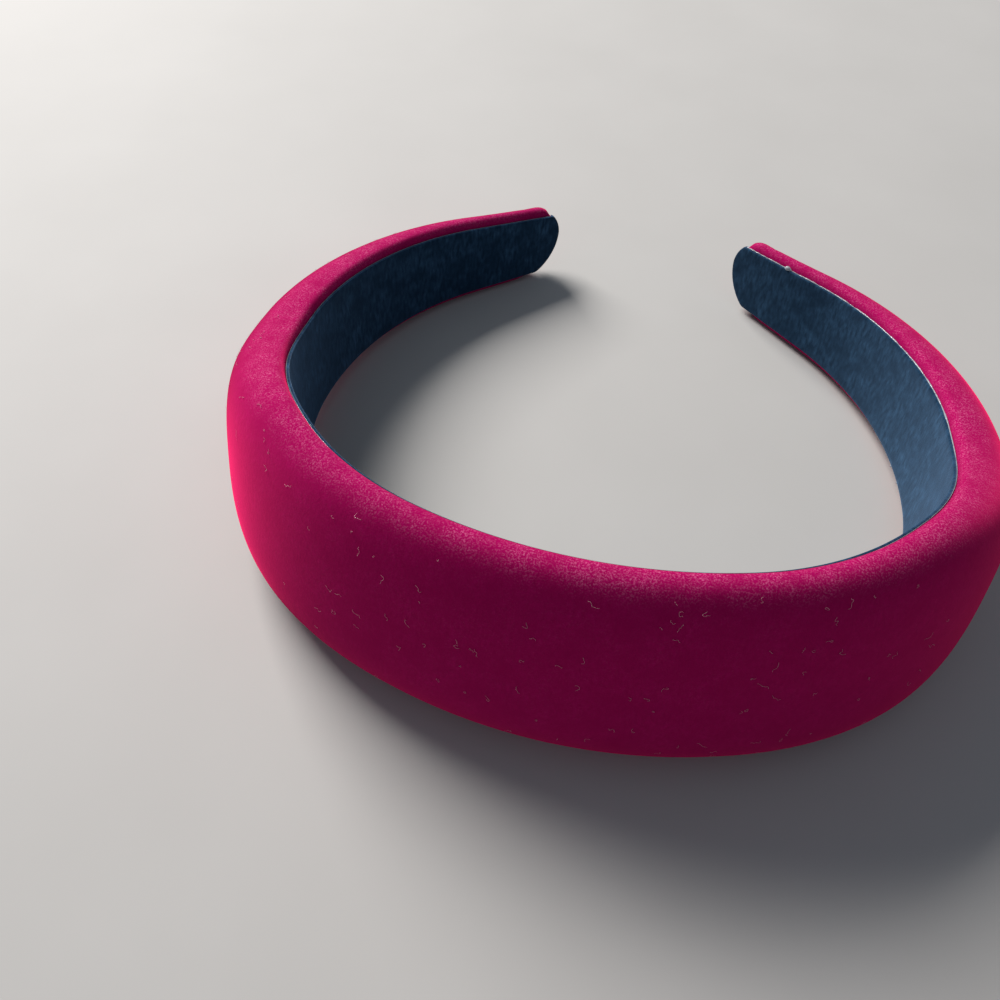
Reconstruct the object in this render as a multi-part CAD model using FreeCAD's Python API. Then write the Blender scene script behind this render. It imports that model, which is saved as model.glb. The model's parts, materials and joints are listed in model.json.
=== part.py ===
import FreeCAD, Part

import math
import os

# A padded hair hoop (Alice band), lying on its lower edge. Millimetres, +Z up.
# The sprung plastic hoop carries a crowned foam pad, a velvet cover whose hems
# turn in on the head side, and a ribbon lining glued over the hems.
#
# Every layer is drawn at stations along the hoop. A station is s millimetres
# from the middle of the crown, measured on the head side of the lining. In it,
# u is the offset outwards from the head and z the height over the mid-plane.

# Plan of one half: three tangent arcs from the crown, then a straight tip.
crown_radius, crown_angle = 88.5, 18.0
temple_radius, temple_angle = 53.5, 63.0
arm_radius, arm_angle = 67.0, 58.5
tip_straight = 24.0

# Width of the band, and total thickness from lining to pile.
crown_width, arm_width, tip_width = 44.0, 27.0, 18.5
width_fade_start, width_fade_end = 55.0, 100.0
crown_thickness, tip_thickness = 14.2, 5.0
thickness_fade_start = 72.0

# Section of the cover: a dome over turned edges, and the rounded tip.
dome_width_power, dome_height_power = 2.1, 2.7
edge_fold_offset = 2.2
edge_fold_depth = 2.2
tip_round_length = 12.0

# Layers, from the head outwards.
layer_gap = 0.1
lining_thickness = 0.6
velvet_thickness = 0.8
hem_glue_thickness = 0.2
core_thickness = 1.4
tape_thickness = 0.2

# Edges and ends of the layers.
lining_margin = 1.8
hem_opening_share = 0.45
core_side_gap = 0.4
glue_side_inset = 1.5
foam_tip_gap = 15.0
bead_size = 0.5
bead_tip_gap = 14.0
tip_fold_length = 5.0

# The two halves are modelled apart, so that the hoop can spring open.
half_gap = 0.15
floor_flat = 0.3

station_count, fold_station_count = 31, 3
dome_points, fold_points = 15, 5
floor_checks = 200
steepest_lean = math.radians(20.0)

# Reach of the cutting blocks, well past the band.
cutter_reach, cutter_depth, floor_cutter = 8.0, 30.0, 400.0
hollow_overrun = 1.0
layer_overrun = 1.0

half_length = (
    crown_radius * math.radians(crown_angle)
    + temple_radius * math.radians(temple_angle)
    + arm_radius * math.radians(arm_angle)
    + tip_straight
)
hem_face = lining_thickness + layer_gap
hem_back = hem_face + velvet_thickness
glue_face = hem_back + layer_gap
core_face = glue_face + hem_glue_thickness + layer_gap
core_back = core_face + core_thickness
tape_face = core_back + layer_gap
tape_back = tape_face + tape_thickness
foam_face = tape_back + layer_gap
inner_inset = velvet_thickness + layer_gap
pad_inset = inner_inset + layer_gap


def ease(x):
    """0 to 1 with level ends."""
    x = min(max(x, 0.0), 1.0)
    return x * x * (3.0 - 2.0 * x)


def width(s):
    """Full width of the band."""
    taper = max(s - width_fade_end, 0.0) / (half_length - width_fade_end)
    arm = arm_width + (tip_width - arm_width) * taper
    fade = ease((s - width_fade_start) / (width_fade_end - width_fade_start))
    return crown_width + (arm - crown_width) * fade


def thickness(s):
    """Total thickness at the middle of the band."""
    fade = ease((s - thickness_fade_start) / (half_length - thickness_fade_start))
    return crown_thickness + (tip_thickness - crown_thickness) * fade


def station(s):
    """Plan point (x, y) and heading in degrees at s along the right half."""
    x, y, heading = 0.0, 0.0, 0.0
    arcs = (
        (crown_radius, crown_angle),
        (temple_radius, temple_angle),
        (arm_radius, arm_angle),
    )
    for radius, angle in arcs:
        turn = min(angle, math.degrees(s / radius))
        start, end = math.radians(heading), math.radians(heading + turn)
        x += radius * (math.sin(end) - math.sin(start))
        y += radius * (math.cos(start) - math.cos(end))
        heading += turn
        s -= radius * math.radians(turn)
    x += s * math.cos(math.radians(heading))
    y += s * math.sin(math.radians(heading))
    return x, y, heading


def place(s, u, z):
    """Point in space for an offset u and height z at station s."""
    x, y, heading = station(s)
    out_x, out_y = math.sin(math.radians(heading)), -math.cos(math.radians(heading))
    return FreeCAD.Vector(x + u * out_x, y + u * out_y, z)


def dome(s, inset, floor):
    """Dome of the cover pulled in by inset, from one side at floor to the other."""
    half = width(s) / 2.0 - inset
    rise = thickness(s) - inset - edge_fold_offset
    low = max((floor - edge_fold_offset) / rise, 0.0)
    first = math.asin(low ** (dome_height_power / 2.0))
    points = []
    for i in range(dome_points):
        angle = first + (math.pi - 2.0 * first) * i / (dome_points - 1)
        side = math.copysign(1.0, math.cos(angle))
        z = side * half * abs(math.cos(angle)) ** (2.0 / dome_width_power)
        u = edge_fold_offset + rise * math.sin(angle) ** (2.0 / dome_height_power)
        points.append((u, z))
    return points


def dome_half_width(s, inset, u):
    """Half width of the dome pulled in by inset, at offset u."""
    rise = thickness(s) - inset - edge_fold_offset
    share = max((u - edge_fold_offset) / rise, 0.0) ** dome_height_power
    return (width(s) / 2.0 - inset) * (1.0 - share) ** (1.0 / dome_width_power)


def shell_outline(s, inset, face):
    """Closed outline of the band pulled in by inset: face, fold, dome, fold."""
    half = width(s) / 2.0 - inset
    depth = edge_fold_depth - inset
    drop = edge_fold_offset - face
    fold = []
    for i in range(fold_points):
        angle = math.pi / 2.0 * i / (fold_points - 1)
        fold.append((face + drop * (1.0 - math.cos(angle)), half - depth + depth * math.sin(angle)))
    back = [(u, -z) for u, z in reversed(fold)]
    return [[(face, depth - half), (face, half - depth)], fold, dome(s, inset, 0.0), back]


def strip_outline(half, low, high, middle=0.0):
    """Rectangle from offset low to high, half wide each side of middle."""
    corners = [(low, middle - half), (low, middle + half), (high, middle + half), (high, middle - half)]
    return [[corners[i], corners[(i + 1) % 4]] for i in range(4)]


def foam_outline(s):
    """Flat underside on the tape and a dome just inside the cover."""
    points = dome(s, pad_inset, foam_face)
    return [[points[-1], points[0]], points]


def bead_outline(s, side):
    """Three-cornered fillet of glue between the lining's edge and the hem."""
    edge = side * (width(s) / 2.0 - lining_margin + layer_gap)
    face = hem_face - layer_gap
    corners = [(face, edge), (face, edge + side * bead_size), (face - bead_size, edge)]
    return [[corners[i], corners[(i + 1) % 3]] for i in range(3)]


def section(s, outline):
    """Wire at station s from runs of (u, z) points; a run of two is straight."""
    edges = []
    for run in outline:
        points = [place(s, u, z) for u, z in run]
        if len(points) == 2:
            edges.append(Part.makeLine(*points))
        else:
            curve = Part.BSplineCurve()
            curve.interpolate(points)
            edges.append(curve.toShape())
    return Part.Wire(edges)


def loft(outline_at, start=half_gap, end=half_length, count=station_count):
    """Solid through count sections from start to end, set closer towards both ends."""
    shares = [(1.0 - math.cos(math.pi * i / (count - 1))) / 2.0 for i in range(count)]
    stops = [start + (end - start) * share for share in shares]
    return Part.makeLoft([section(s, outline_at(s)) for s in stops], True, False)


def beyond_tip(zone, inset):
    """What lies outside the rounded tip, pulled in by inset, in its last zone mm."""
    x, y, heading = station(half_length)
    along = tip_round_length - inset
    across = width(half_length - tip_round_length) / 2.0 - inset
    corner = FreeCAD.Vector(-zone, -cutter_depth / 2.0, -cutter_depth / 2.0)
    box = Part.makeBox(zone + cutter_reach, cutter_depth, cutter_depth, corner)
    centre = FreeCAD.Vector(-tip_round_length, 0.0, 0.0)
    oval = Part.Ellipse(FreeCAD.Vector(along, 0.0, 0.0), FreeCAD.Vector(0.0, 0.0, across), FreeCAD.Vector())
    face = Part.Face(Part.Wire([oval.toShape()]))
    face.translate(centre - FreeCAD.Vector(0.0, cutter_depth / 2.0, 0.0))
    outside = box.cut(face.extrude(FreeCAD.Vector(0.0, cutter_depth, 0.0)))
    turn = FreeCAD.Rotation(FreeCAD.Vector(0.0, 0.0, 1.0), heading)
    outside.Placement = FreeCAD.Placement(FreeCAD.Vector(x, y, 0.0), turn)
    return outside


def wall(low, high, end):
    """Upright wall of true arcs between two offsets, over the full width of the band."""
    crown_end = crown_radius * math.radians(crown_angle)
    temple_end = crown_end + temple_radius * math.radians(temple_angle)
    stops = [half_gap, crown_end, temple_end, half_length - tip_straight, end]
    bottom = -crown_width / 2.0
    edges = []
    for offset in (low, high):
        for first, last in zip(stops[:-2], stops[1:-1]):
            points = [place(s, offset, bottom) for s in (first, (first + last) / 2.0, last)]
            edges.append(Part.Arc(*points).toShape())
        edges.append(Part.makeLine(*[place(s, offset, bottom) for s in stops[-2:]]))
    for s in (stops[0], stops[-1]):
        edges.append(Part.makeLine(place(s, low, bottom), place(s, high, bottom)))
    face = Part.Face(Part.Wire(Part.__sortEdges__(edges)))
    return face.extrude(FreeCAD.Vector(0.0, 0.0, crown_width))


def flat_layer(low, high, end):
    """Layer between two offsets, as wide as the cover leaves room for."""
    def outline(s):
        half = dome_half_width(s, inner_inset, high) - core_side_gap
        return strip_outline(half, low - layer_overrun, high + layer_overrun)
    return wall(low, high, end).common(loft(outline, end=end))


def hoop_core():
    """Sprung plastic hoop that keeps the shape."""
    return flat_layer(core_face, core_back, half_length).cut(beyond_tip(tip_round_length, inner_inset))


def foam_tape():
    """Double-sided film that holds the pad on the hoop."""
    return flat_layer(tape_face, tape_back, half_length - foam_tip_gap)


def foam_pad():
    """Crowned sponge that thins out towards the tip."""
    return loft(foam_outline, end=half_length - foam_tip_gap)


def velvet_cover():
    """Velvet wrapped round the pad, hemmed on the head side, open between the hems."""
    def slot(s):
        return strip_outline(hem_opening_share * width(s) / 2.0, 0.0, hem_back + layer_gap)
    outside = loft(lambda s: shell_outline(s, 0.0, hem_face)).cut(beyond_tip(tip_round_length, 0.0))
    inside = loft(lambda s: shell_outline(s, velvet_thickness, hem_back))
    inside = inside.cut(beyond_tip(tip_round_length, velvet_thickness))
    cover = outside.cut(inside).cut(loft(slot))
    return cover.cut(beyond_tip(tip_fold_length + layer_gap, inner_inset))


def hem_glue(side):
    """Thin film between one hem and the hoop."""
    def outline(s):
        inner = hem_opening_share * width(s) / 2.0 + layer_gap
        outer = dome_half_width(s, inner_inset, core_back) - glue_side_inset
        return strip_outline((outer - inner) / 2.0, glue_face, glue_face + hem_glue_thickness,
                             side * (outer + inner) / 2.0)
    return loft(outline).cut(beyond_tip(tip_round_length, glue_side_inset))


def lining_glue():
    """Glue that fills the opening between the hems, behind the lining."""
    def outline(s):
        half = hem_opening_share * width(s) / 2.0 - layer_gap
        return strip_outline(half, hem_face, core_face - layer_gap)
    return loft(outline).cut(beyond_tip(tip_round_length, inner_inset))


def lining():
    """Ribbon against the head, folded round the end of the tip."""
    fold_start = half_length - tip_fold_length

    def ribbon(s):
        return strip_outline(width(s) / 2.0 - lining_margin, 0.0, lining_thickness)

    def behind(s):
        return strip_outline(cutter_depth, lining_thickness, cutter_depth)

    hollow = loft(behind, fold_start - hollow_overrun, half_length + hollow_overrun, 2)
    hollow = hollow.cut(beyond_tip(tip_round_length, lining_thickness))
    fold = loft(lambda s: shell_outline(s, 0.0, 0.0), fold_start, half_length, fold_station_count)
    fold = fold.cut(beyond_tip(tip_round_length, 0.0)).cut(hollow)
    return loft(ribbon, end=fold_start).fuse(fold)


def edge_bead(side):
    """Squeezed-out glue along one edge of the lining."""
    return loft(lambda s: bead_outline(s, side), end=half_length - bead_tip_gap)


def lowest(lean, first, last):
    """Lowest height of the band's lower edge between two stations, leaned back."""
    heights = []
    for i in range(floor_checks + 1):
        s = first + (last - first) * i / floor_checks
        past = max(s - half_length + tip_round_length, 0.0) / tip_round_length
        low = place(s, edge_fold_offset, -width(s) / 2.0 * math.sqrt(1.0 - past * past))
        heights.append(low.z * math.cos(lean) - low.y * math.sin(lean))
    return min(heights)


def resting_lean():
    """Angle at which the crown's lower edge and both tips touch the floor together."""
    small, large = 0.0, steepest_lean
    while large - small > 1e-6:
        lean = (small + large) / 2.0
        if lowest(lean, 0.0, half_length / 2.0) < lowest(lean, half_length / 2.0, half_length):
            small = lean
        else:
            large = lean
    return small


right = {
    "hoop_core": hoop_core(),
    "foam_tape": foam_tape(),
    "foam_pad": foam_pad(),
    "velvet_cover": velvet_cover(),
    "hem_glue_upper": hem_glue(1.0),
    "hem_glue_lower": hem_glue(-1.0),
    "lining_glue": lining_glue(),
    "lining": lining(),
    "edge_bead_upper": edge_bead(1.0),
    "edge_bead_lower": edge_bead(-1.0),
}

lean = resting_lean()
floor = lowest(lean, 0.0, half_length / 2.0) + floor_flat
shapes = {}
for name, shape in right.items():
    mirrored = shape.mirror(FreeCAD.Vector(), FreeCAD.Vector(1.0, 0.0, 0.0))
    for side, half in (("right", shape), ("left", mirrored)):
        half.rotate(FreeCAD.Vector(), FreeCAD.Vector(1.0, 0.0, 0.0), -math.degrees(lean))
        half.translate(FreeCAD.Vector(0.0, 0.0, -floor))
        shapes[name + "_" + side] = half

bounds = Part.makeCompound(list(shapes.values())).optimalBoundingBox(False)
middle = (bounds.YMin + bounds.YMax) / 2.0
corner = FreeCAD.Vector(-floor_cutter / 2.0, -floor_cutter / 2.0, -cutter_reach)
below = Part.makeBox(floor_cutter, floor_cutter, cutter_reach, corner)
os.makedirs("parts", exist_ok=True)
for name, shape in shapes.items():
    if shape.optimalBoundingBox(False).ZMin < 0.0:
        shape = shape.cut(below)
    shape.translate(FreeCAD.Vector(0.0, -middle, 0.0))
    shape.exportStep("parts/" + name + ".step")

print("lean", round(math.degrees(lean), 3), "floor", round(floor, 3), "middle", round(middle, 3))
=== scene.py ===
import json
import math

import bmesh
import bpy
import numpy as np
from mathutils import Euler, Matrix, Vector


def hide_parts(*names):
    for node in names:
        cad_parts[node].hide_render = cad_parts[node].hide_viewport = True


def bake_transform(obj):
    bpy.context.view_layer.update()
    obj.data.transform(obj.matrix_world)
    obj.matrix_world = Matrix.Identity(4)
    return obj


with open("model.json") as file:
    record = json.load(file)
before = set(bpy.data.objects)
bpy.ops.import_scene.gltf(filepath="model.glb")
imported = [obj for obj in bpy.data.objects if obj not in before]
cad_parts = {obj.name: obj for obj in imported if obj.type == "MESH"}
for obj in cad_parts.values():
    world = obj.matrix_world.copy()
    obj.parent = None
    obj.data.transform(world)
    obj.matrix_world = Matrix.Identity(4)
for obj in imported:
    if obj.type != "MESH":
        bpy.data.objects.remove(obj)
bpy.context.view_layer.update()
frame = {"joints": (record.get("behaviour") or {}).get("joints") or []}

# A padded velvet hair hoop, lying on its lower edge. Band lengths are in
# millimetres, as in the CAD source, and place() turns them into the row frame
# in metres. A station is s mm along the band from the middle of the crown,
# negative on the left half. In it, u is the offset outwards from the head and
# z the height over the mid-plane.
METRE = 0.001

# Plan of one half: three tangent arcs from the crown, then a straight tip.
crown_radius, crown_angle = 88.5, math.radians(18.0)
temple_radius, temple_angle = 53.5, math.radians(63.0)
arm_radius, arm_angle = 67.0, math.radians(58.5)
tip_straight = 24.0
half_length = (crown_radius * crown_angle + temple_radius * temple_angle + arm_radius * arm_angle
               + tip_straight)

# Width of the band, and total thickness from lining to pile.
crown_width, arm_width, tip_width = 44.0, 27.0, 18.5
width_fade_start, width_fade_end = 55.0, 100.0
crown_thickness, tip_thickness = 14.2, 5.6
thickness_fade_start, thickness_fade_power = 72.0, 1.5

# Section of the cover: a flat-faced dome over turned edges. Round the crown it
# is a little thinner and its face slopes, lower at the top edge.
dome_width_power, dome_height_power = 3.0, 2.7
crown_dip, crown_slope, arm_slope = 2.6, 0.5, 0.12
slope_fade_start, slope_fade_end = 48.0, 92.0
dip_fade_start, dip_fade_end = 25.0, 68.0
edge_fold_offset, edge_fold_depth, deepest_fold = 2.2, 2.2, 0.9
dome_side_limit = 0.98

# The tip is rounded by two quarter ovals that meet at a nose above the middle,
# and it thins out towards its end.
tip_lower_length, tip_upper_length = 12.0, 6.0
tip_nose_share = 0.3
tip_thin_power = 0.35

# Layers, from the head outwards.
layer_gap, least_width = 0.1, 0.05
lining_thickness = 0.6
velvet_thickness = 0.8
hem_glue_thickness = 0.2
core_thickness = 1.4
tape_thickness = 0.2
hem_face = lining_thickness + layer_gap
hem_back = hem_face + velvet_thickness
glue_face = hem_back + layer_gap
core_face = glue_face + hem_glue_thickness + layer_gap
core_back = core_face + core_thickness
tape_face = core_back + layer_gap
tape_back = tape_face + tape_thickness
foam_face = tape_back + layer_gap
inner_inset = velvet_thickness + layer_gap
pad_inset = inner_inset + layer_gap

# Edges and ends of the layers.
lining_margin = 1.8
hem_opening_share = 0.45
core_side_gap = 0.4
glue_side_inset = 1.5
foam_tip_gap = 15.0
core_tip_gap, hem_glue_tip_gap, glue_tip_gap = 4.5, 6.0, 12.5
pad_clearance = 0.25
bead_tip_gap = 2.6

# The lining's ends are turned up round the tips, over the tucked-in velvet.
tip_wall = 3.3
tip_wall_ease = 1.2
tuck_depth = 0.7
tuck_upper_start, tuck_lower_start, tuck_length = 3.4, 7.4, 1.4

# Fineness of the meshes, and the closer stations at the tips.
nearest_station = 0.3
dome_points, fold_points = 401, 17
cover_points, cover_step = 84, 1.0
cover_ends = (0.0, 0.3, 0.7, 1.2, 1.8, 2.5, 3.3)
ribbon_points, lining_step, ribbon_roll, roll_points = 25, 1.0, 0.25, 4
end_wall_step, ribbon_end_gap = 0.01, 0.004
ribbon_ends = (0.0, 0.01, 0.05, 0.12, 0.25, 0.42, lining_thickness - end_wall_step,
               lining_thickness + end_wall_step, 0.9, 1.3, 1.8, 2.4, 3.0, 3.7, 4.5, 5.3, 6.1, 7.0)
layer_step, layer_ends, strip_points = 2.0, (0.0, 0.3, 0.8, 1.6), 9
pad_points, pad_under_points, pad_step = 81, 21, 1.5
bead_step, bead_sides = 0.5, 8
area_stations = 721
weld_distance = 1e-7

# Cloth simulation of the cover, ten times full size.
simulation_scale, simulation_frames = 10.0, 20
pad_pressure, cloth_stiffness, cloth_bending = 4.0, 15.0, 0.5
held_rows, held_columns = 6, 14
swell_cap = 0.5 * METRE
rim_start = 0.84

# Stray fibres on the velvet.
lint_count, lint_bends = 190, 12
lint_reach, lint_length = (-140.0, 60.0), (0.8, 2.6)
lint_radius, lint_lift = 0.035, 0.16
lint_shares, lint_curl, lint_arches = (0.08, 0.85), 0.75, (1.0, 2.5)

# Glue beads: radius of the thread, and drops as (station, half length, radius).
bead_radius = 0.13
bead_shown_from, bead_shown_ease = 80.0, 20.0
bead_least, bead_most = 0.25, 1.6
bead_waves, bead_wave_share, bead_grain = (0.9, 0.23), 0.35, 0.2
bead_sunk, bead_out = 0.6, 0.7
drops = {1.0: [(163.5, 0.9, 0.55)], -1.0: [(112.0, 0.5, 0.4), (107.0, 0.45, 0.38)]}

# Share of pale flecks of painted highlight, glints of light caught by the pile,
# added at the rim, their share on the face, and the dark tone of a mottled material.
rim_painted_glints, face_painted_glints = 0.5, 0.05
mottle_shade = 0.8

# Floor, light and camera: metres, watts, millimetres of lens, and degrees of
# azimuth, elevation and roll.
floor_reach = 8.0
fill_colour, fill_strength = (0.75, 0.85, 1.0, 1.0), 0.22
window_power, window_size = 54.0, 0.9
window_place, window_target = (-1.056, 0.918, 1.133), (0.0, 0.0, 0.02)
window_colour = (1.0, 0.97, 0.95)
camera_place, camera_lens = (0.002177, -0.132092, 0.159986), 33.004
camera_angles = (-10.5929, 52.9516, 2.6371)

rng = np.random.default_rng(7)


# ---------------------------------------------------------------- geometry

def ease(x):
    """0 to 1 with level ends."""
    x = np.clip(x, 0.0, 1.0)
    return x * x * (3.0 - 2.0 * x)


def width(s):
    """Full width of the band, before the tip is rounded."""
    s = np.abs(s)
    taper = np.maximum(s - width_fade_end, 0.0) / (half_length - width_fade_end)
    arm = arm_width + (tip_width - arm_width) * taper
    fade = ease((s - width_fade_start) / (width_fade_end - width_fade_start))
    return crown_width + (arm - crown_width) * fade


def thickness(s):
    """Total thickness at the middle of the band."""
    fade = ease((np.abs(s) - thickness_fade_start) / (half_length - thickness_fade_start))
    fade = fade ** thickness_fade_power
    dip = crown_dip * (1.0 - ease((np.abs(s) - dip_fade_start) / (dip_fade_end - dip_fade_start)))
    return crown_thickness + (tip_thickness - crown_thickness) * fade - dip


def slope(s):
    """Share of the dome's height lost at the top edge."""
    fade = ease((np.abs(s) - slope_fade_start) / (slope_fade_end - slope_fade_start))
    return crown_slope + (arm_slope - crown_slope) * fade


def edges(s, inset=0.0):
    """Heights (low, high) of the band's two edges pulled in by inset."""
    half = width(s) / 2.0
    nose = tip_nose_share * half
    left = half_length - np.abs(s)

    def reach(length):
        past = np.clip((length - left) / (length - inset), 0.0, 1.0)
        return np.sqrt(1.0 - past ** 2)

    low = nose - (half + nose - inset) * reach(tip_lower_length)
    high = nose + (half - nose - inset) * reach(tip_upper_length)
    return low, high


def tucked_edges(s, inset=0.0):
    """The same for the velvet, which goes in under the lining's turned-up ends."""
    low, high = edges(s, inset)
    left = half_length - np.abs(s)
    low = low + tuck_depth * ease((tuck_lower_start - left) / tuck_length)
    high = high - tuck_depth * ease((tuck_upper_start - left) / tuck_length)
    return low, high


def plan(s):
    """Plan point (x, y) and the outward direction at stations s."""
    left = np.abs(np.asarray(s, float))
    x, y, heading = np.zeros_like(left), np.zeros_like(left), np.zeros_like(left)
    arcs = ((crown_radius, crown_angle), (temple_radius, temple_angle), (arm_radius, arm_angle))
    for radius, angle in arcs:
        turn = np.minimum(angle, left / radius)
        x += radius * (np.sin(heading + turn) - np.sin(heading))
        y += radius * (np.cos(heading) - np.cos(heading + turn))
        heading += turn
        left = left - radius * turn
    x += left * np.cos(heading)
    y += left * np.sin(heading)
    side = np.where(np.asarray(s) < 0.0, -1.0, 1.0)
    return side * x, y, side * np.sin(heading), -np.cos(heading)


# The band leans back on its tips. Its hinge in the CAD frame is at the outermost
# point of the crown, which gives the lean and the place.
hinge = frame["joints"][0]
hinge_axis, hinge_place = Vector(hinge["axis"]), Vector(hinge["pos_m"])
lean = math.atan2(hinge_axis.y, hinge_axis.z)
lean_sin, lean_cos = math.sin(lean), math.cos(lean)


def place(s, u, z):
    """Points in the row frame, in metres, for offsets u and heights z at stations s."""
    x, y, out_x, out_y = plan(s)
    x, y = x + u * out_x, y + u * out_y + crown_thickness
    return np.stack([x * METRE + hinge_place.x,
                     (y * lean_cos + z * lean_sin) * METRE + hinge_place.y,
                     (z * lean_cos - y * lean_sin) * METRE + hinge_place.z], -1)


def evenly(points, count):
    """The same path with count points evenly spaced along it."""
    along = np.concatenate([[0.0], np.cumsum(np.linalg.norm(np.diff(points, axis=0), axis=1))])
    at = np.linspace(0.0, along[-1], count)
    return np.stack([np.interp(at, along, points[:, k]) for k in (0, 1)], -1)


def dome(s, inset, floor=0.0, sides=edges):
    """Dome of the cover pulled in by inset, as (u, z), from one side at floor to the other."""
    low, high = sides(s, inset)
    half = max((high - low) / 2.0, least_width)
    share = min(half / (width(s) / 2.0 - inset), 1.0)
    rise = (thickness(s) - inset - edge_fold_offset) * share ** tip_thin_power
    angle = np.linspace(0.0, math.pi, dome_points)
    side = np.sign(np.cos(angle)) * np.abs(np.cos(angle)) ** (2.0 / dome_width_power)
    height = np.abs(np.sin(angle)) ** (2.0 / dome_height_power) * (1.0 - slope(s) * (1.0 + side) / 2.0)
    height = height / height.max()
    points = np.stack([edge_fold_offset + rise * height, (low + high) / 2.0 + half * side], -1)
    return points[points[:, 0] >= floor]


def dome_sides(s, inset, u):
    """Heights (low, high) inside the dome pulled in by inset, at offset u."""
    low, high = tucked_edges(s, inset)
    rise = (thickness(s) - inset - edge_fold_offset) * (1.0 - slope(s))
    share = np.clip((u - edge_fold_offset) / rise, 0.0, dome_side_limit) ** dome_height_power
    half = (high - low) / 2.0 * (1.0 - share) ** (1.0 / dome_width_power)
    return (low + high) / 2.0 - half, (low + high) / 2.0 + half


def wrap(s, inset, face, opening, count, sides=edges):
    """Path (u, z) from one side of an opening on the head side, over the dome, to the other."""
    over = dome(s, inset, sides=sides)
    middle = (over[0, 1] + over[-1, 1]) / 2.0
    half = over[0, 1] - middle
    depth = min(edge_fold_depth - inset, deepest_fold * half)
    angle = np.linspace(0.0, math.pi / 2.0, fold_points)[:-1]
    fold = np.stack([face + (edge_fold_offset - face) * (1.0 - np.cos(angle)),
                     half - depth + depth * np.sin(angle)], -1)
    start = np.array([[face, min(opening, half - depth - least_width)]])
    ahead = np.concatenate([start, fold]) + [0.0, middle]
    behind = np.concatenate([fold[::-1], start]) * [1.0, -1.0] + [0.0, middle]
    return evenly(np.concatenate([ahead, over, behind]), count)


def strip(low, high, near, far):
    """Closed rectangle between heights low and high and offsets near and far."""
    z = np.linspace(low, high, strip_points)
    front = np.stack([np.full(strip_points, near), z], -1)
    back = np.stack([np.full(strip_points, far), z[::-1]], -1)
    return np.concatenate([front, back])


def mesh_object(name, points, faces):
    """New object of plain faces, smooth shaded."""
    mesh = bpy.data.meshes.new(name)
    mesh.from_pydata(points.tolist(), [], faces)
    mesh.polygons.foreach_set("use_smooth", np.ones(len(mesh.polygons), bool))
    mesh.update()
    piece = bpy.data.objects.new(name, mesh)
    bpy.context.scene.collection.objects.link(piece)
    return piece


def ring_faces(rows, columns, first=0):
    """Quads between rings of points, and a face over each end ring."""
    faces = []
    for i in range(rows - 1):
        for j in range(columns):
            a, b = first + i * columns + j, first + i * columns + (j + 1) % columns
            faces.append((a, a + columns, b + columns, b))
    faces.append(tuple(first + j for j in range(columns)))
    faces.append(tuple(first + (rows - 1) * columns + j for j in reversed(range(columns))))
    return faces


def set_pattern(piece, s, across):
    """Fabric coordinates of each point, in millimetres along and across the band."""
    for name, values in (("along", s), ("across", across)):
        attribute = piece.data.attributes.new(name, "FLOAT", "POINT")
        attribute.data.foreach_set("value", np.asarray(values, np.float32).ravel())


def loft(name, stations, outline):
    """Closed solid through outline(s), a ring of (u, z) points, at each station."""
    stations = np.asarray(stations)
    rings = np.array([outline(s) for s in stations])
    s = np.repeat(stations[:, None], rings.shape[1], 1)
    points = place(s, rings[..., 0], rings[..., 1])
    piece = mesh_object(name, points.reshape(-1, 3), ring_faces(*rings.shape[:2]))
    set_pattern(piece, s, rings[..., 1])
    return piece


def spaced(reach, step, ends=()):
    """Stations from one end to the other, with closer ones at these distances from each end."""
    regular = np.linspace(-reach, reach, int(round(2.0 * reach / step)) + 1)
    closer = [reach - distance for distance in ends]
    if not closer:
        return regular
    kept = regular[np.abs(regular) < min(closer) - nearest_station * step]
    return np.unique(np.concatenate([kept, closer, np.negative(closer)]))


def follow(piece, slot, *nodes):
    """Bakes the piece's transform and stands for CAD nodes on each half, which it hides. slot is not used.
    """
    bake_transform(piece)
    if nodes:
        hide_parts(*[node + side for node in nodes for side in ("_right", "_left")])
    return piece


# ---------------------------------------------------------------- pieces

def clean(piece):
    """Joins doubled points and turns the faces outwards."""
    work = bmesh.new()
    work.from_mesh(piece.data)
    bmesh.ops.remove_doubles(work, verts=work.verts, dist=weld_distance)
    bmesh.ops.recalc_face_normals(work, faces=work.faces)
    work.to_mesh(piece.data)
    work.free()
    return piece


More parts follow.
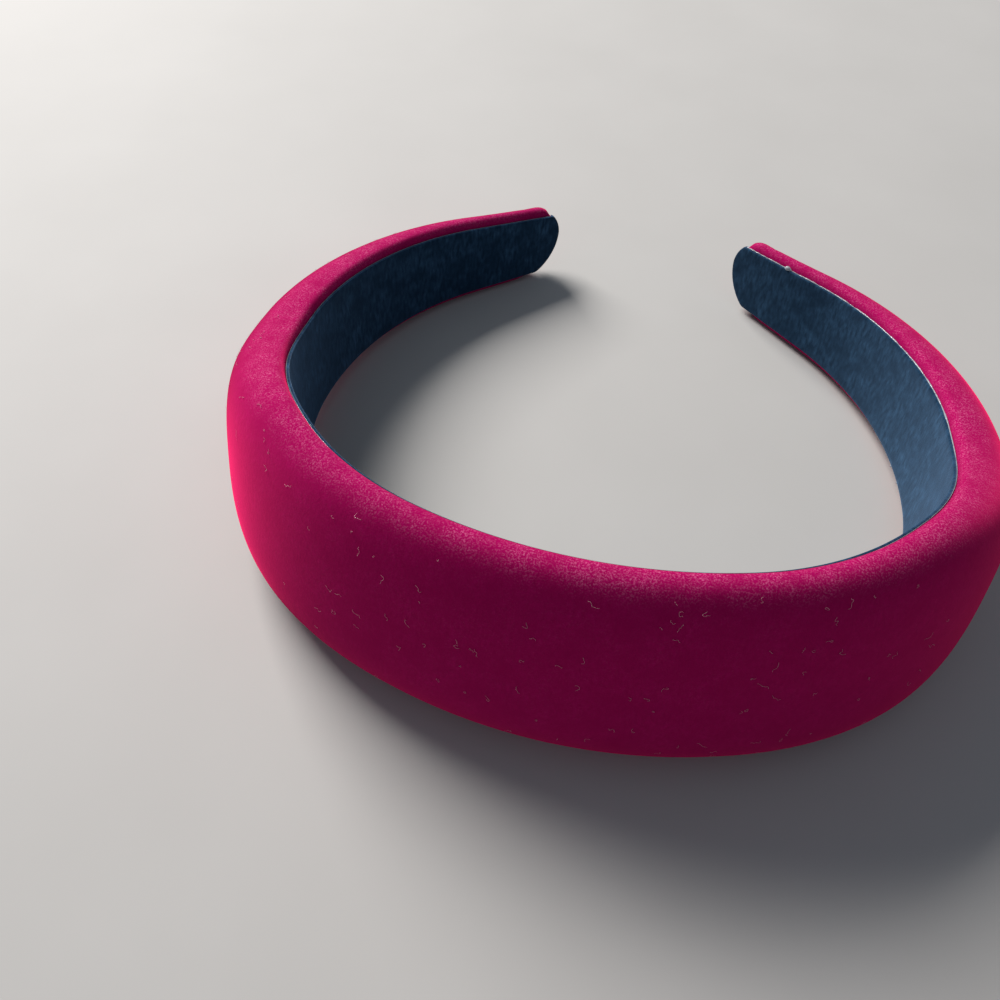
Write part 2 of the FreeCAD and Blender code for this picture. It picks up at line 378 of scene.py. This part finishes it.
def swell(skin):
    """How far each point of the cover's skin moves when the pad presses on it, hems and tips held."""
    rows, columns = skin.shape[:2]
    faces = [(i * columns + j, (i + 1) * columns + j, (i + 1) * columns + j + 1, i * columns + j + 1)
             for i in range(rows - 1) for j in range(columns - 1)]
    piece = mesh_object("skin", skin.reshape(-1, 3) * simulation_scale, faces)
    piece.data.flip_normals()
    index = np.arange(rows * columns).reshape(rows, columns)
    held = np.concatenate([index[:held_rows].ravel(), index[-held_rows:].ravel(),
                           index[:, :held_columns].ravel(), index[:, -held_columns:].ravel()])
    group = piece.vertex_groups.new(name="held")
    group.add(np.unique(held).tolist(), 1.0, "REPLACE")
    cloth = piece.modifiers.new("cloth", "CLOTH")
    settings = cloth.settings
    settings.vertex_group_mass = "held"
    settings.use_pressure = True
    settings.uniform_pressure_force = pad_pressure
    settings.effector_weights.gravity = 0.0
    settings.tension_stiffness = settings.compression_stiffness = cloth_stiffness
    settings.bending_stiffness = cloth_bending
    cloth.collision_settings.use_collision = False
    cloth.point_cache.frame_start, cloth.point_cache.frame_end = 1, simulation_frames
    for frame_number in range(1, simulation_frames + 1):
        bpy.context.scene.frame_set(frame_number)
    evaluated = piece.evaluated_get(bpy.context.evaluated_depsgraph_get()).to_mesh()
    moved = np.empty(rows * columns * 3)
    evaluated.vertices.foreach_get("co", moved)
    bpy.data.objects.remove(piece)
    bpy.context.scene.frame_set(1)
    moved = moved.reshape(rows, columns, 3) / simulation_scale - skin
    size = np.linalg.norm(moved, axis=-1, keepdims=True)
    return moved / np.maximum(size, 1e-9) * swell_cap * np.tanh(size / swell_cap)


def velvet_cover():
    """Velvet over the pad, hemmed on the head side, open between the hems."""
    stations = spaced(half_length - lining_thickness - layer_gap, cover_step, cover_ends)
    outer, inner = [], []
    for s in stations:
        hem = hem_opening_share * width(s) / 2.0
        outer.append(wrap(s, 0.0, hem_face, hem, cover_points, tucked_edges))
        inner.append(wrap(s, velvet_thickness, hem_back, hem, cover_points, tucked_edges)[::-1])
    outer, inner = np.array(outer), np.array(inner)
    s = np.repeat(stations[:, None], 2 * cover_points, 1)
    rings = np.concatenate([outer, inner], 1)
    points = place(s, rings[..., 0], rings[..., 1])
    moved = swell(points[:, :cover_points])
    points[:, :cover_points] += moved
    points[:, cover_points:] += moved[:, ::-1]
    faces = ring_faces(len(stations), 2 * cover_points)
    piece = mesh_object("velvet_cover", points.reshape(-1, 3), faces)
    set_pattern(piece, s, rings[..., 1])
    half = width(s) / 2.0
    # The rim marks the band's edges, where the painted highlight flecks are strongest.
    attribute = piece.data.attributes.new("rim", "FLOAT", "POINT")
    rim = ease((np.abs(rings[..., 1]) / half - rim_start) / (1.0 - rim_start))
    attribute.data.foreach_set("value", rim.astype(np.float32).ravel())
    return clean(piece)


def lining():
    """Ribbon against the head, its ends rounded and turned up round the tips."""
    def ring(s):
        low, high = edges(s)
        ribbon = width(s) / 2.0 - lining_margin
        top, bottom = min(ribbon, high), max(-ribbon, low)
        turned = [ease(max(ribbon - edge, 0.0) / tip_wall_ease) for edge in (high, -low)]
        walls = [lining_thickness + (tip_wall - lining_thickness) * share for share in turned]
        inner = lining_thickness
        if half_length - abs(s) < lining_thickness:
            inner = tip_wall
        roll = min(ribbon_roll, (top - bottom) / 4.0)
        thick = min(lining_thickness, (top - bottom) / 3.0)
        angle = np.linspace(0.0, math.pi / 2.0, roll_points)
        corner = np.stack([roll * (1.0 - np.cos(angle)), roll * np.sin(angle)], -1)
        up = np.linspace(bottom + roll, top - roll, ribbon_points)
        down = np.linspace(top - thick, bottom + thick, ribbon_points)
        face = np.stack([np.zeros(ribbon_points), up], -1)[1:-1]
        back = np.stack([np.full(ribbon_points, inner), down], -1)
        upper = np.concatenate([corner + [0.0, top - roll],
                                [[walls[0], top], [walls[0], top - thick]]])
        lower = np.concatenate([[[walls[1], bottom + thick], [walls[1], bottom]],
                                (corner * [1.0, -1.0] + [0.0, bottom + roll])[::-1]])
        return np.concatenate([face, upper, back, lower])
    stations = spaced(half_length - ribbon_end_gap, lining_step, ribbon_ends)
    return clean(loft("lining", stations, ring))


def layer(name, sides, near, far, end_gap):
    """Flat hidden layer between two heights and two offsets."""
    def ring(s):
        return strip(*sides(s), near, far)
    return clean(loft(name, spaced(half_length - end_gap, layer_step, layer_ends), ring))


def foam_pad():
    """Crowned sponge that thins out towards the tips."""
    def ring(s):
        over = evenly(dome(s, pad_inset + pad_clearance, foam_face), pad_points)
        under = np.linspace(over[-1], over[0], pad_under_points)[1:-1]
        return np.concatenate([over, under])
    return clean(loft("foam_pad", spaced(half_length - foam_tip_gap, pad_step), ring))


def core_sides(offset):
    """Edges of a layer as wide as the cover leaves room for at an offset."""
    def sides(s):
        low, high = dome_sides(s, inner_inset, offset)
        return low + core_side_gap, high - core_side_gap
    return sides


def hem_glue_sides(side):
    """Edges of the glue between one hem and the hoop."""
    def sides(s):
        low, high = dome_sides(s, inner_inset, core_back)
        opening = hem_opening_share * width(s) / 2.0 + layer_gap
        if side > 0.0:
            return min(opening, high - glue_side_inset - least_width), high - glue_side_inset
        return low + glue_side_inset, max(-opening, low + glue_side_inset + least_width)
    return sides


def lining_glue_sides(s):
    """Edges of the glue in the opening between the hems."""
    low, high = edges(s, inner_inset)
    opening = hem_opening_share * width(s) / 2.0 - layer_gap
    return max(-opening, low), min(opening, high)


def edge_bead(side):
    """Squeezed-out glue along one edge of the lining: a thin uneven thread with drops."""
    name = "edge_bead_upper" if side > 0.0 else "edge_bead_lower"
    stations = spaced(half_length - bead_tip_gap, bead_step)
    shown = ease((stations - bead_shown_from) / bead_shown_ease) if side > 0.0 else 0.0
    wave = np.sin(stations * bead_waves[0] + side) * np.sin(stations * bead_waves[1])
    uneven = 1.0 + bead_wave_share * wave + bead_grain * rng.standard_normal(len(stations))
    thread = bead_radius * (bead_least + (1.0 - bead_least) * shown) * uneven
    thread = np.clip(thread, bead_least * bead_radius, bead_most * bead_radius)
    for at, long, thick in drops[side]:
        drop = np.sqrt(np.clip(1.0 - ((stations - at) / long) ** 2, 0.0, 1.0))
        thread = np.maximum(thread, thick * drop)
    radius = dict(zip(stations, thread))
    turn = np.linspace(0.0, 2.0 * math.pi, bead_sides + 1)[:-1]

    def ring(s):
        low, high = edges(s)
        ribbon = width(s) / 2.0 - lining_margin
        edge = min(ribbon, high - bead_radius) if side > 0.0 else max(-ribbon, low + bead_radius)
        thick = radius[s]
        return np.stack([lining_thickness - thick * bead_sunk + thick * np.cos(turn),
                         edge + side * thick * bead_out + thick * np.sin(turn)], -1)
    return clean(loft(name, stations, ring))


def lint(cover):
    """Stray curly fibres lying on the face of the cover."""
    corners = np.linspace(0.0, 2.0 * math.pi, 4)[:-1]
    turns = np.linspace(0.0, 1.0, lint_bends)
    points, faces = [], []
    for _ in range(lint_count):
        s, share = rng.uniform(*lint_reach), rng.uniform(*lint_shares)
        long, heading = rng.uniform(*lint_length), rng.uniform(0.0, 2.0 * math.pi)
        bend = np.cumsum(rng.normal(0.0, lint_curl, lint_bends)) + heading
        along = s + np.cumsum(np.cos(bend)) * long / lint_bends
        up = np.cumsum(np.sin(bend)) * long / lint_bends
        lift = lint_lift * (0.5 + np.sin(turns * math.pi * rng.uniform(*lint_arches)) ** 2)
        faces += ring_faces(lint_bends, 3, len(points))
        for at, step, high in zip(along, up, lift):
            over = dome(at, 0.0)
            run = np.concatenate([[0.0], np.cumsum(np.linalg.norm(np.diff(over, axis=0), axis=1))])
            where = np.clip(share * run[-1] + step, 0.0, run[-1])
            u, z = (np.interp(where, run, over[:, k]) for k in (0, 1))
            _, spot, normal, _ = cover.closest_point_on_mesh(Vector(place(np.array(at), u, z)))
            centre = spot + normal * high * METRE
            side = normal.orthogonal().normalized()
            other = normal.cross(side)
            for turn in corners:
                offset = side * math.cos(turn) + other * math.sin(turn)
                points.append(centre + offset * lint_radius * METRE)
    return mesh_object("lint", np.array(points), faces)


# ---------------------------------------------------------------- materials

def node(tree, kind, inputs=None, **settings):
    """New shader node; an input is a number, a colour or another node's socket."""
    made = tree.nodes.new("ShaderNode" + kind)
    for key, value in settings.items():
        setattr(made, key, value)
    for key, value in (inputs or {}).items():
        if isinstance(value, bpy.types.NodeSocket):
            tree.links.new(value, made.inputs[key])
        else:
            made.inputs[key].default_value = value
    return made


def material(name):
    """New material with its Principled shader."""
    made = bpy.data.materials.new(name)
    made.use_nodes = True
    return made, made.node_tree, made.node_tree.nodes["Principled BSDF"]


def fabric_vector(tree, along_scale, across_scale):
    """Pattern coordinates in the cloth, scaled each way, in millimetres."""
    along = node(tree, "Attribute", attribute_name="along").outputs["Fac"]
    across = node(tree, "Attribute", attribute_name="across").outputs["Fac"]
    x = node(tree, "Math", {0: along, 1: along_scale}, operation="MULTIPLY").outputs[0]
    y = node(tree, "Math", {0: across, 1: across_scale}, operation="MULTIPLY").outputs[0]
    return node(tree, "CombineXYZ", {"X": x, "Y": y}).outputs[0]


def object_noise(tree, size, detail=3.0, roughness=0.6):
    """Noise whose grains are size millimetres across."""
    place_out = node(tree, "TexCoord").outputs["Object"]
    return node(tree, "TexNoise", {"Vector": place_out, "Scale": 1.0 / (size * METRE),
                                   "Detail": detail, "Roughness": roughness}).outputs["Fac"]


def mix_colour(tree, factor, a, b):
    """Colour a where factor is 0 and b where it is 1."""
    made = node(tree, "Mix", {0: factor, 6: a, 7: b}, data_type="RGBA")
    return made.outputs[2]


def spread(tree, value, low, high):
    """Value mapped so that low gives 0 and high gives 1."""
    return node(tree, "MapRange", {"Value": value, "From Min": low, "From Max": high}).outputs[0]


def velvet(name, deep, lit, sheen_tint, sheen_weight, painted_glint, nap):
    """Short-pile velvet: nap streaks, broad mottling, and pale flecks of painted highlight that stand in for
    light caught by the pile, strongest at the rim.
    """
    made, tree, shader = material(name)
    grain = object_noise(tree, size=0.3, detail=2.0, roughness=0.7)
    strands = fabric_vector(tree, *nap)
    streak = node(tree, "TexNoise", {"Vector": strands, "Scale": 1.0, "Detail": 3.0}).outputs["Fac"]
    patches = object_noise(tree, size=5.0, detail=4.0, roughness=0.6)
    streaked = spread(tree, streak, low=0.35, high=0.7)
    patched = spread(tree, patches, low=0.3, high=0.7)
    worn = node(tree, "Math", {0: streaked, 1: patched}, operation="MULTIPLY").outputs[0]
    colour = mix_colour(tree, worn, deep, lit)
    # Painted highlight: pale flecks stand in for glints of light on the pile, stronger at the rim.
    rim = node(tree, "Attribute", attribute_name="rim").outputs["Fac"]
    grainy = spread(tree, grain, low=0.48, high=0.72)
    glint_patches = spread(tree, patches, low=0.25, high=0.6)
    glint_spots = node(tree, "Math", {0: grainy, 1: glint_patches}, operation="MULTIPLY").outputs[0]
    share = node(tree, "Math", {0: rim, 1: rim_painted_glints, 2: face_painted_glints}, operation="MULTIPLY_ADD").outputs[0]
    painted_glints = node(tree, "Math", {0: glint_spots, 1: share}, operation="MULTIPLY").outputs[0]
    tree.links.new(mix_colour(tree, painted_glints, colour, painted_glint), shader.inputs["Base Color"])
    shader.inputs["Roughness"].default_value = 0.95
    shader.inputs["Specular IOR Level"].default_value = 0.05
    shader.inputs["Sheen Weight"].default_value = sheen_weight
    shader.inputs["Sheen Roughness"].default_value = 0.4
    shader.inputs["Sheen Tint"].default_value = sheen_tint
    height = node(tree, "Math", {0: grain, 1: streak}, operation="ADD").outputs[0]
    bump = node(tree, "Bump", {"Height": height, "Strength": 0.4, "Distance": 0.08 * METRE})
    tree.links.new(bump.outputs[0], shader.inputs["Normal"])
    return made


def plain_material(name, colour, roughness):
    """Plain, slightly mottled material."""
    made, tree, shader = material(name)
    mottle = object_noise(tree, size=3.0)
    dark = tuple(mottle_shade * c for c in colour[:3]) + (1.0,)
    tree.links.new(mix_colour(tree, mottle, dark, colour), shader.inputs["Base Color"])
    shader.inputs["Roughness"].default_value = roughness
    return made


def floor_material():
    """Pale, faintly mottled floor."""
    made, tree, shader = material("pale_floor")
    mottle = object_noise(tree, size=40.0, detail=4.0, roughness=0.5)
    colour = mix_colour(tree, mottle, (0.45, 0.44, 0.42, 1.0), (0.50, 0.49, 0.47, 1.0))
    tree.links.new(colour, shader.inputs["Base Color"])
    shader.inputs["Roughness"].default_value = 0.7
    return made


# ---------------------------------------------------------------- stage

def area_light(name, power, size, at, toward, colour=(1.0, 1.0, 1.0)):
    """Soft square light."""
    data = bpy.data.lights.new(name, "AREA")
    data.energy, data.size, data.color = power, size, colour
    light = bpy.data.objects.new(name, data)
    light.location = at
    light.rotation_euler = (Vector(toward) - Vector(at)).to_track_quat("-Z", "Y").to_euler()
    bpy.context.scene.collection.objects.link(light)


def stage():
    """Pale floor, soft light from a window side behind on the left, and the camera."""
    corners = np.array([[-1.0, -1.0, 0.0], [1.0, -1.0, 0.0], [1.0, 1.0, 0.0], [-1.0, 1.0, 0.0]])
    corners = corners * floor_reach
    floor = mesh_object("floor", corners, [(0, 1, 2, 3)])
    floor.data.materials.append(floor_material())
    world = bpy.data.worlds.new("studio")
    world.use_nodes = True
    background = world.node_tree.nodes["Background"]
    background.inputs["Color"].default_value = fill_colour
    background.inputs["Strength"].default_value = fill_strength
    bpy.context.scene.world = world
    area_light("window", window_power, window_size, window_place, window_target, window_colour)
    camera_data = bpy.data.cameras.new("camera")
    camera_data.lens = camera_lens
    camera = bpy.data.objects.new("camera", camera_data)
    camera.location = camera_place
    azimuth, elevation, roll = (math.radians(angle) for angle in camera_angles)
    aim = Euler((math.pi / 2.0 - elevation, 0.0, -azimuth), "XYZ").to_matrix()
    camera.rotation_euler = (aim @ Euler((0.0, 0.0, roll)).to_matrix()).to_euler()
    bpy.context.scene.collection.objects.link(camera)
    bpy.context.scene.camera = camera
    bpy.context.scene.view_settings.view_transform = "Standard"


# The fleck colours are painted highlight, glints of light caught by the pile.
red = velvet("velvet_red", deep=(0.34, 0.0004, 0.08, 1.0), lit=(0.42, 0.002, 0.108, 1.0),
             sheen_tint=(1.0, 0.03, 0.16, 1.0), sheen_weight=1.0,
             painted_glint=(0.85, 0.22, 0.42, 1.0), nap=(1.5, 0.9))
black = velvet("velvet_black", deep=(0.005, 0.022, 0.05, 1.0), lit=(0.032, 0.088, 0.17, 1.0),
               sheen_tint=(0.45, 0.68, 1.0, 1.0), sheen_weight=0.45,
               painted_glint=(0.05, 0.12, 0.2, 1.0), nap=(1.2, 0.4))
glue = plain_material("hot_glue", (0.36, 0.39, 0.43, 1.0), 0.18)
sponge = plain_material("foam_sponge", (0.8, 0.77, 0.68, 1.0), 0.9)
plastic = plain_material("hoop_plastic", (0.03, 0.03, 0.033, 1.0), 0.4)
film = plain_material("tape_film", (0.85, 0.84, 0.78, 1.0), 0.3)

hem_glue = (glue_face, glue_face + hem_glue_thickness, hem_glue_tip_gap)
pieces = [
    (velvet_cover(), red, "velvet_red"),
    (lining(), black, "velvet_black"),
    (foam_pad(), sponge, "foam_sponge"),
    (layer("hoop_core", core_sides(core_back), core_face, core_back, core_tip_gap), plastic, "hoop_plastic"),
    (layer("foam_tape", core_sides(tape_back), tape_face, tape_back, foam_tip_gap), film, "tape_film"),
    (layer("hem_glue_upper", hem_glue_sides(1.0), *hem_glue), glue, "hot_glue"),
    (layer("hem_glue_lower", hem_glue_sides(-1.0), *hem_glue), glue, "hot_glue"),
    (layer("lining_glue", lining_glue_sides, hem_face, core_face - layer_gap, glue_tip_gap),
     glue, "hot_glue"),
    (edge_bead(1.0), glue, "hot_glue"),
    (edge_bead(-1.0), glue, "hot_glue"),
]
for piece, look, slot in pieces:
    piece.data.materials.append(look)
    follow(piece, slot, piece.name)
fibres = lint(bpy.data.objects["velvet_cover"])
fibres.data.materials.append(plain_material("lint_fibre", (0.75, 0.32, 0.42, 1.0), 0.8))
follow(fibres, None)

# The lining was cut flat as a ribbon that narrows with the band, with its ends
# left long enough to turn up.
ribbon_at = np.linspace(-half_length, half_length, area_stations)
for s in ribbon_at:
    low, high = edges(s)

stage()
